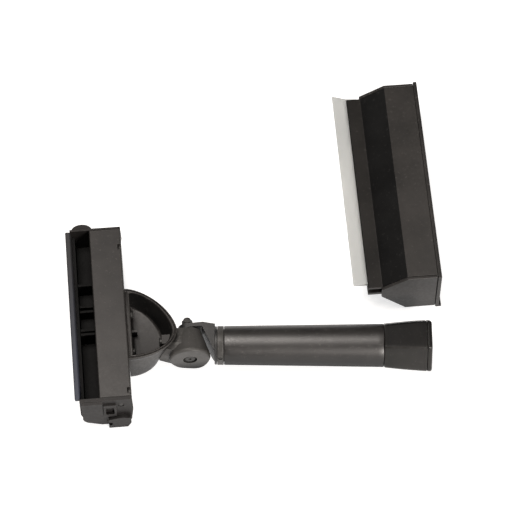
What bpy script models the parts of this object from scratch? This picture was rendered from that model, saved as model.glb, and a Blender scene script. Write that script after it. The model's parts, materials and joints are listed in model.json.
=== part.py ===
"""Window squeegee: a long holder head hinged on a tube handle, and a push-on blade adapter.

Metres, +Z up.  The head's length and the hinge axis run along Y, the handle points to +X.
Every sub-part is modelled in the frame of its own group: the hinge group and the handle
group have their origin on the hinge axis, the adapter group at the foot of its open base.
"""
import math

import bmesh
import bpy
from mathutils import Matrix, Vector

# ---------------------------------------------------------------- driving dimensions
GAP = 0.0003                      # joint line between touching pieces
SCREW_SIDES = 12
SCREW_HOLE = 0.0017               # radius that clears a screw's shank
SHANK = 0.0014
CUT_PAST = 0.001                  # how far a cutting body runs past what it cuts
SMOOTH_ANGLE = math.radians(30)
FLAT_SIDES_ANGLE = math.radians(25)
BEVEL_ANGLE = math.radians(40)
FRAME_BEVEL = 0.0004
AXIS_HEIGHT = 0.020               # hinge axis above the surface the tool lies on
PIVOT = Vector((-0.0562, -0.07875, AXIS_HEIGHT))
HANDLE_YAW = math.radians(-4.8)   # handle axis against the head's square direction
ADAPTER_BASE = Vector((0.1458, 0.04105, 0.0))

# head, measured from the hinge axis
HEAD_BACK = -0.0475
HEAD_FRONT = -0.0878
HEAD_NEAR = -0.0500
HEAD_FAR = 0.0980
HEAD_TOP = 0.0210
HEAD_BOTTOM = -AXIS_HEIGHT
WALL = 0.0024
CHANNEL_RIGHT = -0.0725
CHANNEL_LEFT = -0.0842
PARTING = -0.0020                 # height of the line between tray and cover
LIP_SEAT = -0.0864                # front wall the rubber lip's foot stands against
LIP_LEDGE = -0.0020
LIP_SLANT = 0.0110                 # how far the lip's near end runs back at its foot
TRAY_TOP = 0.0120
CAP_SKIN = 0.0030

# neck cup
CUP_BACK = HEAD_BACK + GAP
CUP_CENTRE_Y = 0.0060
CUP_RIM_Z = 0.0180
CUP_FOOT_Z = -0.0192
CUP_FLOOR_Z = -0.0025             # top of the raised floor; it is hollow underneath
CUP_WALL = 0.0030
CUP_STEPS = 14
CUP_FULLNESS = 1.25              # 1 is a round quarter, more is a flatter one

# hinge stack along Y
EYE_NEAR = -0.0128
EYE_FAR = 0.0112
EYE_NEAR_RADIUS = 0.0170
EYE_FAR_RADIUS = 0.0102
LOBE_ANGLE = math.radians(-61)     # direction of the eye's low front lobe, in X and Z
LOBE_HEIGHT = 0.0022
LOBE_SPREAD = math.radians(24)
UNDERSIDE_SLANT = math.radians(15.7)
UNDERSIDE_DROP = 0.0145            # the slanted underside's distance from the axis
BOLT_RADIUS = 0.0029
BORE_RADIUS = 0.00325            # holes of the pieces that stay with the bolt
PIVOT_BORE = 0.00296              # running fit of the knuckle on the bolt
TONGUE_NEAR = 0.0126
TONGUE_FAR = 0.0159
TONGUE_HALF = 0.0075
BOLT_END = 0.0238

# handle, measured along its own axis from the hinge
FLANGE_START = 0.0202
FLANGE_END = 0.0220
COLLAR_END = 0.0273
TUBE_END = 0.1529
COUPLING_END = 0.1864
HANDLE_END = 0.1902
TUBE_FRONT_RADIUS = 0.0153
TUBE_REAR_RADIUS = 0.0170
TUBE_BORE = 0.0130
HEX_SMALL_FLATS = 0.0340
HEX_LARGE_FLATS = 0.0393
POLE_BORE = 0.0132

# adapter
ADAPTER_HALF = 0.0905
PLATE = 0.0023
SHELL_TOP = 0.0476
SHELL_BOTTOM = 0.0010
FLAT_END = -0.0270
SLOPE_END = -0.0460
LIP_END = -0.0575
LIP_UPPER = (0.0306, 0.0334)
LIP_LOWER = (0.0219, 0.0249)
BLADE_EDGE = -0.0685
BLADE_Z = (0.0273, 0.0303)
FLANGE_DEPTH = 0.0029


# ---------------------------------------------------------------- materials
def material(name, colour, roughness, metallic=0.0):
    mat = bpy.data.materials.new(name)
    mat.use_nodes = True
    shader = mat.node_tree.nodes["Principled BSDF"]
    shader.inputs["Base Color"].default_value = (*colour, 1.0)
    shader.inputs["Roughness"].default_value = roughness
    shader.inputs["Metallic"].default_value = metallic
    return mat


# ---------------------------------------------------------------- mesh helpers
def add_box(bm, low, high):
    corners = []
    for z in (low[2], high[2]):
        for x, y in ((low[0], low[1]), (high[0], low[1]), (high[0], high[1]), (low[0], high[1])):
            corners.append(bm.verts.new((x, y, z)))
    add_loft_faces(bm, [corners[:4], corners[4:]])


def add_loft_faces(bm, rings):
    """Skin a list of vertex rings, and fill the first and the last."""
    count = len(rings[0])
    for ring_a, ring_b in zip(rings, rings[1:]):
        for i in range(count):
            j = (i + 1) % count
            bm.faces.new((ring_a[i], ring_a[j], ring_b[j], ring_b[i]))
    bm.faces.new(list(reversed(rings[0])))
    bm.faces.new(rings[-1])


def add_prism(bm, outline, axis, start, end):
    """Extrude an outline along an axis; it is given in the other two axes, in order."""
    rings = []
    for level in (start, end):
        ring = []
        for u, v in outline:
            point = {"x": (level, u, v), "y": (u, level, v), "z": (u, v, level)}[axis]
            ring.append(bm.verts.new(point))
        rings.append(ring)
    add_loft_faces(bm, rings)


def axis_frame(axis, centre=(0.0, 0.0, 0.0), spin=0.0):
    """Matrix that takes local Z to the named axis, through a centre."""
    turn = {"x": Matrix.Rotation(math.pi / 2, 4, "Y"),
            "y": Matrix.Rotation(-math.pi / 2, 4, "X"),
            "z": Matrix.Identity(4)}[axis]
    return Matrix.Translation(centre) @ turn @ Matrix.Rotation(spin, 4, "Z")


def add_turned(bm, profile, frame, segments=24):
    """Turn a closed profile of (height, radius) points about the frame's Z axis."""
    rings = []
    for height, radius in profile:
        if radius == 0.0:
            rings.append([bm.verts.new(frame @ Vector((0.0, 0.0, height)))])
            continue
        ring = []
        for i in range(segments):
            angle = 2 * math.pi * i / segments
            local = Vector((radius * math.cos(angle), radius * math.sin(angle), height))
            ring.append(bm.verts.new(frame @ local))
        rings.append(ring)
    for ring_a, ring_b in zip(rings, rings[1:] + rings[:1]):
        if len(ring_a) == 1 and len(ring_b) == 1:
            continue
        for i in range(segments):
            j = (i + 1) % segments
            face = [ring_a[i % len(ring_a)], ring_a[j % len(ring_a)],
                    ring_b[j % len(ring_b)], ring_b[i % len(ring_b)]]
            bm.faces.new(list(dict.fromkeys(face)))


def rod(start, end, radius):
    """Profile of a solid round bar."""
    return [(start, 0.0), (start, radius), (end, radius), (end, 0.0)]


def tube(start, end, outer, inner):
    """Profile of a plain ring."""
    return [(start, inner), (start, outer), (end, outer), (end, inner)]


def make(name, bm, mat, group=None, bevel=0.0):
    """Turn a bmesh into a named object, with an optional rounded edge."""
    bmesh.ops.recalc_face_normals(bm, faces=bm.faces)
    mesh = bpy.data.meshes.new(name)
    bm.to_mesh(mesh)
    bm.free()
    obj = bpy.data.objects.new(name, mesh)
    bpy.context.scene.collection.objects.link(obj)
    dress(obj, mat, group, bevel)
    return obj


def dress(obj, mat, group, bevel=0.0, smooth=SMOOTH_ANGLE):
    """Give an object its material, its group, rounded edges and smooth shading."""
    if mat is not None:
        obj.data.materials.clear()
        obj.data.materials.append(mat)
    if group is not None:
        obj.parent = group
    if bevel:
        edge = obj.modifiers.new("rounded edge", "BEVEL")
        edge.width = bevel
        edge.segments = 2
        edge.limit_method = "ANGLE"
        edge.angle_limit = BEVEL_ANGLE
    obj.data.shade_smooth()
    obj.data.set_sharp_from_angle(angle=smooth)


def combine(obj, bm, operation):
    """Cut, join or intersect an object with a tool body, and keep the result."""
    tool = make("tool", bm, None)
    step = obj.modifiers.new("combine", "BOOLEAN")
    step.operation = operation
    step.solver = "EXACT"
    step.object = tool
    graph = bpy.context.evaluated_depsgraph_get()
    result = bpy.data.meshes.new_from_object(obj.evaluated_get(graph))
    obj.modifiers.remove(step)
    old = obj.data
    result.name = old.name
    obj.data = result
    bpy.data.meshes.remove(old)
    spent = tool.data
    bpy.data.objects.remove(tool)
    bpy.data.meshes.remove(spent)
    return obj


def shape(name, add, *args):
    """A bare object holding one added body, ready to be combined with others."""
    bm = bmesh.new()
    add(bm, *args)
    return make(name, bm, None)


def with_body(obj, operation, add, *args):
    bm = bmesh.new()
    add(bm, *args)
    return combine(obj, bm, operation)


def absorb(obj, other):
    """Join another object's body to an object, and drop the other."""
    bm = bmesh.new()
    bm.from_mesh(other.data)
    spent = other.data
    bpy.data.objects.remove(other)
    bpy.data.meshes.remove(spent)
    combine(obj, bm, "UNION")


def group_empty(name, place, yaw=0.0):
    empty = bpy.data.objects.new(name, None)
    empty.location = place
    empty.rotation_euler = (0.0, 0.0, yaw)
    bpy.context.scene.collection.objects.link(empty)
    return empty


def screw_profile(length, radius, head_radius, head_height):
    """Pan-head screw: the head's underside is at zero and the shank runs to +length."""
    return [(-head_height, 0.0), (-head_height, head_radius * 0.7),
            (-head_height * 0.6, head_radius), (0.0, head_radius), (0.0, radius),
            (length, radius), (length, 0.0)]


def screws(name, frames, profile, mat, group):
    """One numbered screw in each frame, its shank along the frame's Z."""
    for number, frame in enumerate(frames, 1):
        bm = bmesh.new()
        add_turned(bm, profile, frame, SCREW_SIDES)
        make(f"{name}_{number}", bm, mat, group)


# ---------------------------------------------------------------- hinge stack
def cup_half_sizes(z):
    """Depth, far half-length and near half-length of the cup's D shape at a height."""
    level = (z - CUP_FOOT_Z) / (CUP_RIM_Z - CUP_FOOT_Z)
    return 0.0240 + 0.0140 * level, 0.0330 + 0.0055 * level, 0.0203 + 0.0021 * level


def cup_outline(z, grow):
    """D outline, flat side on the head: two quarter curves that meet at the apex."""
    depth, far, near = (size + grow for size in cup_half_sizes(z))
    back = CUP_BACK - min(grow, 0.0)
    reach = CUP_BACK + depth - back
    points = []
    for i in range(CUP_STEPS + 1):
        angle = math.pi / 2 * i / CUP_STEPS
        points.append((back + reach * math.sin(angle), CUP_CENTRE_Y - near * math.cos(angle)))
    for i in range(1, CUP_STEPS + 1):
        angle = math.pi / 2 * i / CUP_STEPS
        along = math.sin(angle) ** CUP_FULLNESS
        across = max(math.cos(angle), 0.0) ** CUP_FULLNESS
        points.append((back + reach * across, CUP_CENTRE_Y + far * along))
    return points


def cup_ring(bm, z, grow):
    return [bm.verts.new((x, y, z)) for x, y in cup_outline(z, grow)]


def add_cup_block(bm, grow):
    """The cup's outer body as a solid, used to cut what meets it."""
    rings = [cup_ring(bm, CUP_FOOT_Z - 0.001, grow), cup_ring(bm, CUP_RIM_Z + 0.002, grow)]
    add_loft_faces(bm, rings)


def add_cup_shell(bm):
    """Bowl with a raised floor and a turned-out rim, from the hollow below round to the floor."""
    bead = 0.0009
    rings = [cup_ring(bm, CUP_FLOOR_Z - WALL, -CUP_WALL),
             cup_ring(bm, CUP_FOOT_Z, -CUP_WALL),
             cup_ring(bm, CUP_FOOT_Z, -0.0008),
             cup_ring(bm, CUP_FOOT_Z + 0.0010, 0.0),
             cup_ring(bm, CUP_RIM_Z - 0.0032, 0.0),
             cup_ring(bm, CUP_RIM_Z - 0.0028, bead),
             cup_ring(bm, CUP_RIM_Z - 0.0006, bead),
             cup_ring(bm, CUP_RIM_Z, bead * 0.4),
             cup_ring(bm, CUP_RIM_Z, -CUP_WALL),
             cup_ring(bm, CUP_FLOOR_Z, -CUP_WALL)]
    add_loft_faces(bm, rings)


KNUCKLE_SCREW_Z = (0.0015, 0.0081)
KNUCKLE_SCREW_Y = 0.0010
KNUCKLE_SEAT = -0.0209
BACK_SCREW_Y = (-0.0050, 0.0280)
BACK_SCREW_Z = 0.0060
CUP_SCREW_HEAD = (0.0030, 0.0020)


def cup_screws(mat, group):
    """Two screws into the knuckle and two into the head, all from inside the cup."""
    seat = KNUCKLE_SEAT - GAP
    knuckle = [axis_frame("x", (seat, KNUCKLE_SCREW_Y, z)) for z in KNUCKLE_SCREW_Z]
    screws("knuckle_screw", knuckle, screw_profile(0.0110, SHANK, *CUP_SCREW_HEAD), mat, group)
    inward = Matrix.Rotation(-math.pi / 2, 4, "Y")
    seat = CUP_BACK + CUP_WALL + GAP
    back = [Matrix.Translation((seat, y, BACK_SCREW_Z)) @ inward for y in BACK_SCREW_Y]
    screws("head_screw", back, screw_profile(0.0060, SHANK, *CUP_SCREW_HEAD), mat, group)


def add_screw_holes(bm, radius):
    """Clearance for the shanks of the cup's four screws."""
    for z in KNUCKLE_SCREW_Z:
        frame = axis_frame("x", (0.0, KNUCKLE_SCREW_Y, z))
        add_turned(bm, rod(KNUCKLE_SEAT - 0.0020, -0.0095, radius), frame, SCREW_SIDES)
    for y in BACK_SCREW_Y:
        frame = axis_frame("x", (0.0, y, BACK_SCREW_Z))
        add_turned(bm, rod(-0.0525, CUP_BACK + CUP_WALL + CUT_PAST, radius), frame, SCREW_SIDES)


def neck_cup(mat, group):
    """Cup with two ribs on its back wall and a flat pad for the screws at its apex."""
    obj = shape("neck_cup", add_cup_shell)
    for y in (-0.0100, 0.0130):
        low = (CUP_BACK + 0.0010, y - 0.0008, CUP_FLOOR_Z - 0.0010)
        high = (CUP_BACK + 0.0075, y + 0.0008, 0.0060)
        with_body(obj, "UNION", add_box, low, high)
    pad_low = (KNUCKLE_SEAT, -0.0028, CUP_FLOOR_Z - 0.0010)
    pad_high = (CUP_BACK + 0.0400, 0.0048, 0.0120)
    pad = shape("pad", add_box, pad_low, pad_high)
    with_body(pad, "INTERSECT", add_cup_block, -0.0010)
    absorb(obj, pad)
    with_body(obj, "DIFFERENCE", add_screw_holes, SCREW_HOLE)
    air_low = (KNUCKLE_SEAT - 0.0045, pad_low[1], CUP_FLOOR_Z + GAP)
    with_body(obj, "DIFFERENCE", add_box, air_low, (KNUCKLE_SEAT, pad_high[1], pad_high[2]))
    dress(obj, mat, group)


def eye_radius(angle, blend):
    """Radius of the knuckle's eye: round at the far end, with a low front lobe at the near one."""
    off = (angle - LOBE_ANGLE + math.pi) % (2 * math.pi) - math.pi
    near = EYE_NEAR_RADIUS + LOBE_HEIGHT * math.exp(-(off / LOBE_SPREAD) ** 2)
    return near + (EYE_FAR_RADIUS - near) * blend


def add_eye(bm):
    """Cone-shaped eye about the hinge axis, with softened ends."""
    soft, soft_steps, steps = 0.0032, 4, 44
    length = EYE_FAR - EYE_NEAR
    stations = []
    for i in range(soft_steps + 1):
        angle = math.pi / 2 * i / soft_steps
        stations.append((EYE_NEAR + soft * (1 - math.cos(angle)), soft * (math.sin(angle) - 1)))
    stations += [(EYE_FAR - 0.0005, 0.0), (EYE_FAR, -0.0005)]
    rings = []
    for y, grow in stations:
        ring = []
        for i in range(steps):
            angle = 2 * math.pi * i / steps
            radius = eye_radius(angle, (y - EYE_NEAR) / length) + grow
            ring.append(bm.verts.new((radius * math.cos(angle), y, radius * math.sin(angle))))
        rings.append(ring)
    add_loft_faces(bm, rings)


def add_web(bm):
    """Web that joins the eye to the cup: its section in Y and Z at three places along X."""
    sections = ((-0.0240, ((-0.0070, -0.0098), (-0.0070, 0.0005), (-0.0045, 0.0075),
                           (0.0000, 0.0100), (0.0098, 0.0102), (0.0098, -0.0098))),
                (-0.0090, ((-0.0105, -0.0128), (-0.0108, 0.0040), (-0.0085, 0.0105),
                           (-0.0030, 0.0125), (0.0107, 0.0105), (0.0107, -0.0108))),
                (-0.0010, ((-0.0120, -0.0150), (-0.0120, 0.0120), (-0.0100, 0.0150),
                           (-0.0040, 0.0140), (0.0109, 0.0098), (0.0109, -0.0097))))
    rings = [[bm.verts.new((x, y, z)) for y, z in section] for x, section in sections]
    add_loft_faces(bm, rings)


def add_undercut(bm):
    """What lies below the knuckle's slanted underside."""
    reach = 0.060
    turn = Matrix.Rotation(UNDERSIDE_SLANT, 4, "Y")
    first = len(bm.verts)
    add_box(bm, (-reach, -reach, -UNDERSIDE_DROP - reach), (reach, reach, -UNDERSIDE_DROP))
    bm.verts.ensure_lookup_table()
    bmesh.ops.transform(bm, matrix=turn, verts=bm.verts[first:])


def swivel_knuckle(mat, group):
    obj = shape("swivel_knuckle", add_web)
    with_body(obj, "DIFFERENCE", add_cup_block, GAP)
    with_body(obj, "UNION", add_eye)
    with_body(obj, "DIFFERENCE", add_undercut)
    bore = rod(EYE_NEAR - CUT_PAST, EYE_FAR + CUT_PAST, PIVOT_BORE)
    with_body(obj, "DIFFERENCE", add_turned, bore, axis_frame("y"))
    recess = rod(EYE_NEAR - 0.001, -0.0084, 0.0056)
    with_body(obj, "DIFFERENCE", add_turned, recess, axis_frame("y"))
    with_body(obj, "DIFFERENCE", add_screw_holes, SCREW_HOLE)
    dress(obj, mat, group)


def hinge_hardware(steel, black, group):
    """Bolt, washers and nut on the hinge axis, near side to far side."""
    along = axis_frame("y")
    bm = bmesh.new()
    head = 0.0044
    add_turned(bm, [(-0.0122, 0.0), (-0.0122, head - 0.0006), (-0.0116, head),
                    (-0.0100, head), (-0.0100, BOLT_RADIUS), (BOLT_END - 0.0007, BOLT_RADIUS),
                    (BOLT_END, BOLT_RADIUS - 0.0007), (BOLT_END, 0.0)], along)
    bolt = make("pivot_bolt", bm, None)
    driver = 0.0013
    hexagon = [(driver * math.cos(a * math.pi / 3), driver * math.sin(a * math.pi / 3))
               for a in range(6)]
    with_body(bolt, "DIFFERENCE", add_prism, hexagon, "y", -0.0130, -0.0108)
    dress(bolt, steel, group)

    rings = (("bolt_head_washer", -0.0097, -0.0087, 0.0052, steel),
             ("friction_disc", 0.0115, 0.0123, 0.0072, black),
             ("nut_washer", 0.0162, 0.0172, 0.0046, steel),
             ("spring_washer", 0.0175, 0.0185, 0.0040, steel))
    for name, start, end, outer, mat in rings:
        bm = bmesh.new()
        add_turned(bm, tube(start, end, outer, BORE_RADIUS), along)
        make(name, bm, mat, group)

    across = 0.0037 / math.cos(math.pi / 6)
    outline = [(across * math.cos(a * math.pi / 3), across * math.sin(a * math.pi / 3))
               for a in range(6)]
    nut = shape("pivot_nut", add_prism, outline, "y", 0.0188, 0.0216)
    hole = rod(0.0180, 0.0225, BORE_RADIUS)
    with_body(nut, "DIFFERENCE", add_turned, hole, along)
    dress(nut, steel, group)


# ---------------------------------------------------------------- holder head
# rounded belly of the head in X and Z, from the floor up to the front
BELLY = [(-0.0720, HEAD_BOTTOM), (-0.0800, -0.0165), (-0.0856, -0.0085), (HEAD_FRONT, 0.0)]
# back lower corner of the head, from the back wall down to the floor
HEEL = [(HEAD_BACK - 0.0010, -0.0130), (HEAD_BACK - 0.0034, -0.0188),
        (HEAD_BACK - 0.0060, HEAD_BOTTOM)]


def head_outline():
    """Whole cross-section of the head, clockwise from the top front edge."""
    back = [(HEAD_FRONT, HEAD_TOP), (HEAD_BACK, HEAD_TOP), (HEAD_BACK + 0.0006, 0.0040)]
    return back + HEEL + BELLY


BOSS_PLACES = [(-0.0610, y) for y in (-0.0380, 0.0050, 0.0480, 0.0900)]


def add_bosses(bm, start, end, radius, segments=12):
    for x, y in BOSS_PLACES:
        frame = Matrix.Translation((x, y, 0.0))
        add_turned(bm, rod(start, end, radius), frame, segments)


def base_tray(mat, group):
    """Lower half: front wall, rounded belly, floor and the lower part of the back wall."""
    outer = [(LIP_SEAT, TRAY_TOP), (LIP_SEAT, LIP_LEDGE), (HEAD_FRONT, LIP_LEDGE)]
    outer += BELLY[-2::-1]
    outer += HEEL[::-1] + [(HEAD_BACK, PARTING)]
    inner = [(HEAD_BACK - WALL, PARTING), (HEAD_BACK - 0.0010 - WALL, -0.0130),
             (HEAD_BACK - 0.0070, HEAD_BOTTOM + WALL), (-0.0712, HEAD_BOTTOM + WALL),
             (-0.0775, -0.0146), (CHANNEL_LEFT, -0.0078), (CHANNEL_LEFT, TRAY_TOP)]
    obj = shape("base_tray", add_prism, outer + inner, "y", HEAD_NEAR, HEAD_FAR)
    with_body(obj, "DIFFERENCE", add_bosses, HEAD_BOTTOM - 0.001, HEAD_BOTTOM + 0.004, SCREW_HOLE)
    with_body(obj, "DIFFERENCE", add_bosses, HEAD_BOTTOM - 0.001, HEAD_BOTTOM + 0.0013, 0.0036)
    dress(obj, mat, group)


def top_cover(mat, group):
    """Upper half: the broad top plate, the back wall and the wall of the open channel."""
    low = PARTING + GAP
    outer = [(CHANNEL_RIGHT, -0.0120), (CHANNEL_RIGHT, HEAD_TOP - 0.0008),
             (CHANNEL_RIGHT + 0.0008, HEAD_TOP), (HEAD_BACK - 0.0012, HEAD_TOP),
             (HEAD_BACK - 0.0003, HEAD_TOP - 0.0004), (HEAD_BACK, HEAD_TOP - 0.0014),
             (HEAD_BACK, low)]
    inner = [(HEAD_BACK - WALL, low), (HEAD_BACK - WALL, HEAD_TOP - WALL),
             (CHANNEL_RIGHT + WALL, HEAD_TOP - WALL), (CHANNEL_RIGHT + WALL, -0.0120)]
    obj = shape("top_cover", add_prism, outer + inner, "y", HEAD_NEAR, HEAD_FAR)
    with_body(obj, "UNION", add_bosses, HEAD_BOTTOM + WALL + GAP, HEAD_TOP - 0.0010, 0.0034)
    with_body(obj, "DIFFERENCE", add_bosses, HEAD_BOTTOM, 0.0040, SCREW_HOLE)
    for y in (-0.0450, 0.0820):
        low_corner = (HEAD_BACK - 0.0030, y - 0.0025, HEAD_TOP - 0.0042)
        high_corner = (HEAD_BACK + 0.0010, y + 0.0025, HEAD_TOP + 0.0010)
        with_body(obj, "DIFFERENCE", add_box, low_corner, high_corner)
    with_body(obj, "DIFFERENCE", add_screw_holes, SCREW_HOLE)
    dress(obj, mat, group)


def tray_screws(mat, group):
    """Screws that come up through the tray's floor into the cover's bosses."""
    frames = [Matrix.Translation((x, y, HEAD_BOTTOM + 0.0010)) for x, y in BOSS_PLACES]
    screws("tray_screw", frames, screw_profile(0.0150, SHANK, 0.0032, 0.0008), mat, group)


def channel_insert(mat, group):
    """Floor of the open channel with the cross ribs that stand on it: place and height."""
    left, right = CHANNEL_LEFT + GAP, CHANNEL_RIGHT - GAP
    low_z, high_z = -0.0068, -0.0048
    half = 0.0011
    ends = (left, HEAD_NEAR + GAP, low_z), (right, HEAD_FAR - GAP, high_z)
    obj = shape("channel_insert", add_box, *ends)
    for y, top in ((0.0549, 0.0105), (0.0378, 0.0065), (0.0334, 0.0065), (0.0148, 0.0105), (0.0112, 0.0105)):
        with_body(obj, "UNION", add_box, (left, y - half, low_z + 0.0005), (right, y + half, top))
    dress(obj, mat, group)


def rubber_lip(mat, group):
    """Leaning lip along the front edge; its near end slants back towards the foot."""
    foot = -0.0014
    outline = [(-0.0867, foot), (-0.0867, 0.0120), (-0.0873, 0.0198), (-0.0880, 0.0208),
               (-0.0905, 0.0210), (-0.0914, 0.0202), (-0.0899, 0.0100), (-0.0878, 0.0068),
               (-0.0878, foot)]
    obj = shape("rubber_lip", add_prism, outline, "y", HEAD_NEAR, HEAD_FAR)
    slant = [(HEAD_NEAR - CUT_PAST, 0.0195), (HEAD_NEAR - CUT_PAST, foot - CUT_PAST),
             (HEAD_NEAR + LIP_SLANT, foot - CUT_PAST)]
    with_body(obj, "DIFFERENCE", add_prism, slant, "x", -0.0930, -0.0850)
    dress(obj, mat, group)


def lip_clamp_strip(mat, group):
    outline = [(-0.0881, -0.0016), (-0.0881, 0.0060), (-0.0889, 0.0064), (-0.0896, 0.0056),
               (-0.0896, -0.0010), (-0.0891, -0.0016)]
    bm = bmesh.new()
    add_prism(bm, outline, "y", HEAD_NEAR + LIP_SLANT, HEAD_FAR - 0.0010)
    make("lip_clamp_strip", bm, mat, group)


def add_lobe(bm, start, end):
    """Rounded nose on the front half of an end cap: a half circle below straight sides."""
    centre_x, centre_z, radius, top = -0.0785, -0.0030, 0.0080, HEAD_TOP - 0.0006
    steps = 12
    outline = []
    for i in range(steps + 1):
        angle = math.pi + math.pi * i / steps
        outline.append((centre_x + radius * math.cos(angle), centre_z + radius * math.sin(angle)))
    outline += [(centre_x + radius, top), (centre_x - radius, top)]
    add_prism(bm, outline, "y", start, end)


CAP_SCREWS = ((-0.0562, 0.0120), (-0.0660, -0.0130))


def end_cap_near(mat, group):
    """Cap at the near end: skin, bulged nose, framed recess and the lower block."""
    inside = HEAD_NEAR - GAP
    skin = inside - CAP_SKIN
    obj = shape("end_cap_near", add_prism, head_outline(), "y", skin, inside)
    with_body(obj, "UNION", add_lobe, skin - 0.0026, inside - 0.0010)
    block = [(-0.0668, -0.0196), (-0.0520, -0.0196), (-0.0492, -0.0130), (-0.0492, -0.0050),
             (-0.0560, -0.0036), (-0.0668, -0.0060)]
    with_body(obj, "UNION", add_prism, block, "y", skin - 0.0036, inside - 0.0010)
    frame_low = (-0.0698, skin - 0.0016, -0.0040)
    with_body(obj, "UNION", add_box, frame_low, (-0.0600, inside - 0.0010, 0.0150))
    with_body(obj, "DIFFERENCE", add_box, (-0.0682, skin - 0.0030, 0.0000),
              (-0.0616, skin + 0.0012, 0.0110))
    for x, z in CAP_SCREWS:
        frame = axis_frame("y", (x, 0.0, z))
        with_body(obj, "DIFFERENCE", add_turned, rod(skin - 0.006, inside + 0.001, SCREW_HOLE),
                  frame, SCREW_SIDES)
        with_body(obj, "DIFFERENCE", add_turned, rod(skin - 0.006, skin + 0.0016, 0.0024),
                  frame, SCREW_SIDES)
    dress(obj, mat, group)


def end_cap_far(mat, group):
    """Cap at the far end: thin skin behind the cover and a deep nose in front."""
    inside = HEAD_FAR + GAP
    skin = inside + 0.0016
    steps, half_width, depth = 12, 0.0083, 0.0058
    dome = [(-0.0782 - half_width * math.cos(math.pi * i / steps),
             inside + 0.0004 + depth * math.sin(math.pi * i / steps)) for i in range(steps + 1)]
    obj = shape("end_cap_far", add_prism, head_outline(), "y", inside, skin)
    with_body(obj, "UNION", add_prism, dome, "z", -0.0110, HEAD_TOP - 0.0006)
    for x, z in CAP_SCREWS:
        frame = axis_frame("y", (x, 0.0, z))
        with_body(obj, "DIFFERENCE", add_turned, rod(inside - 0.001, skin + 0.001, SCREW_HOLE),
                  frame, SCREW_SIDES)
    dress(obj, mat, group)


def end_cap_screws(mat, group):
    """Two screws in each cap; the near pair sits deep in its holes."""
    into_near = Matrix.Rotation(-math.pi / 2, 4, "X")
    into_far = Matrix.Rotation(math.pi / 2, 4, "X")
    near_seat = HEAD_NEAR - GAP - CAP_SKIN + 0.0013
    far_seat = HEAD_FAR + GAP + 0.0019
    near = [Matrix.Translation((x, near_seat, z)) @ into_near for x, z in CAP_SCREWS]
    far = [Matrix.Translation((x, far_seat, z)) @ into_far for x, z in CAP_SCREWS]
    screws("near_cap_screw", near, screw_profile(0.0080, SHANK, 0.0021, 0.0012), mat, group)
    screws("far_cap_screw", far, screw_profile(0.0080, SHANK, 0.0030, 0.0014), mat, group)


# ---------------------------------------------------------------- handle
def add_ring(bm, profile, spin=0.0, segments=40):
    add_turned(bm, profile, axis_frame("x", (0.0, 0.0, 0.0), spin), segments)


RIVET_X = 0.0248
RIVET_RISE = math.radians(20)


def rivet_frame():
    """Radial direction of the collar rivet, on the near side and a little above centre."""
    return Matrix.Translation((RIVET_X, 0.0, 0.0)) @ Matrix.Rotation(
        math.pi / 2 - RIVET_RISE, 4, "X")


def hinge_fork(mat, group):
    """Plug in the tube's front end, with a flange, a deep gusset and the tongue for the bolt."""
    to_handle = Matrix.Rotation(-HANDLE_YAW, 4, "Z")
    plan = [(-0.0090, TONGUE_NEAR), (0.0112, TONGUE_NEAR), (0.0197, -0.0118), (0.0207, -0.0118),
            (0.0216, 0.0131), (0.0120, TONGUE_FAR), (-0.0090, TONGUE_FAR)]
    side = []
    for i in range(17):
        angle = math.radians(90 + 180 * i / 16)
        side.append((TONGUE_HALF * math.cos(angle), TONGUE_HALF * math.sin(angle)))
    side += [(0.0230, -0.0088), (0.0230, 0.0088)]
    obj = shape("hinge_fork", add_prism, plan, "z", -0.012, 0.012)
    with_body(obj, "INTERSECT", add_prism, side, "y", -0.030, 0.030)
    skirt = shape("skirt", add_prism, plan[1:5], "z", -0.0135, 0.0)
    round_section = [(0.0146 * math.cos(i * math.pi / 16), 0.0146 * math.sin(i * math.pi / 16))
                     for i in range(32)]
    with_body(skirt, "INTERSECT", add_prism, round_section, "x", 0.0, 0.0300)
    absorb(obj, skirt)
    hole = rod(TONGUE_NEAR - 0.002, TONGUE_FAR + 0.002, BORE_RADIUS)
    with_body(obj, "DIFFERENCE", add_turned, hole, axis_frame("y"))
    obj.data.transform(to_handle)
    plug = [(FLANGE_START, 0.0), (FLANGE_START, 0.0147), (FLANGE_START + 0.0003, 0.0150),
            (FLANGE_END, 0.0150), (FLANGE_END, 0.0126), (0.0440, 0.0126), (0.0440, 0.0100),
            (0.0240, 0.0100), (0.0240, 0.0)]
    with_body(obj, "UNION", add_ring, plug)
    with_body(obj, "DIFFERENCE", add_turned, rod(0.0085, 0.0160, SCREW_HOLE), rivet_frame(), SCREW_SIDES)
    dress(obj, mat, group)


def front_collar(mat, group):
    """Ring between flange and tube, with six shallow windows round it."""
    start, end = FLANGE_END + GAP, COLLAR_END
    profile = [(start, 0.0129), (start, 0.0149), (start + 0.0004, TUBE_FRONT_RADIUS),
               (end, TUBE_FRONT_RADIUS), (end, 0.0129)]
    obj = shape("front_collar", add_ring, profile)
    bm = bmesh.new()
    for i in range(6):
        turn = Matrix.Rotation(math.radians(60 * i + 31), 4, "X")
        before = len(bm.verts)
        add_box(bm, (start + 0.0011, -0.0065, 0.0146), (end - 0.0009, 0.0065, 0.0180))
        bm.verts.ensure_lookup_table()
        bmesh.ops.transform(bm, matrix=turn, verts=bm.verts[before:])
    combine(obj, bm, "DIFFERENCE")
    with_body(obj, "DIFFERENCE", add_turned, rod(0.0085, 0.0160, SCREW_HOLE), rivet_frame(), SCREW_SIDES)
    dress(obj, mat, group)


def collar_rivet(mat, group):
    bm = bmesh.new()
    add_turned(bm, rod(0.0106, 0.0148, SHANK), rivet_frame(), SCREW_SIDES)
    make("collar_rivet", bm, mat, group)


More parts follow.
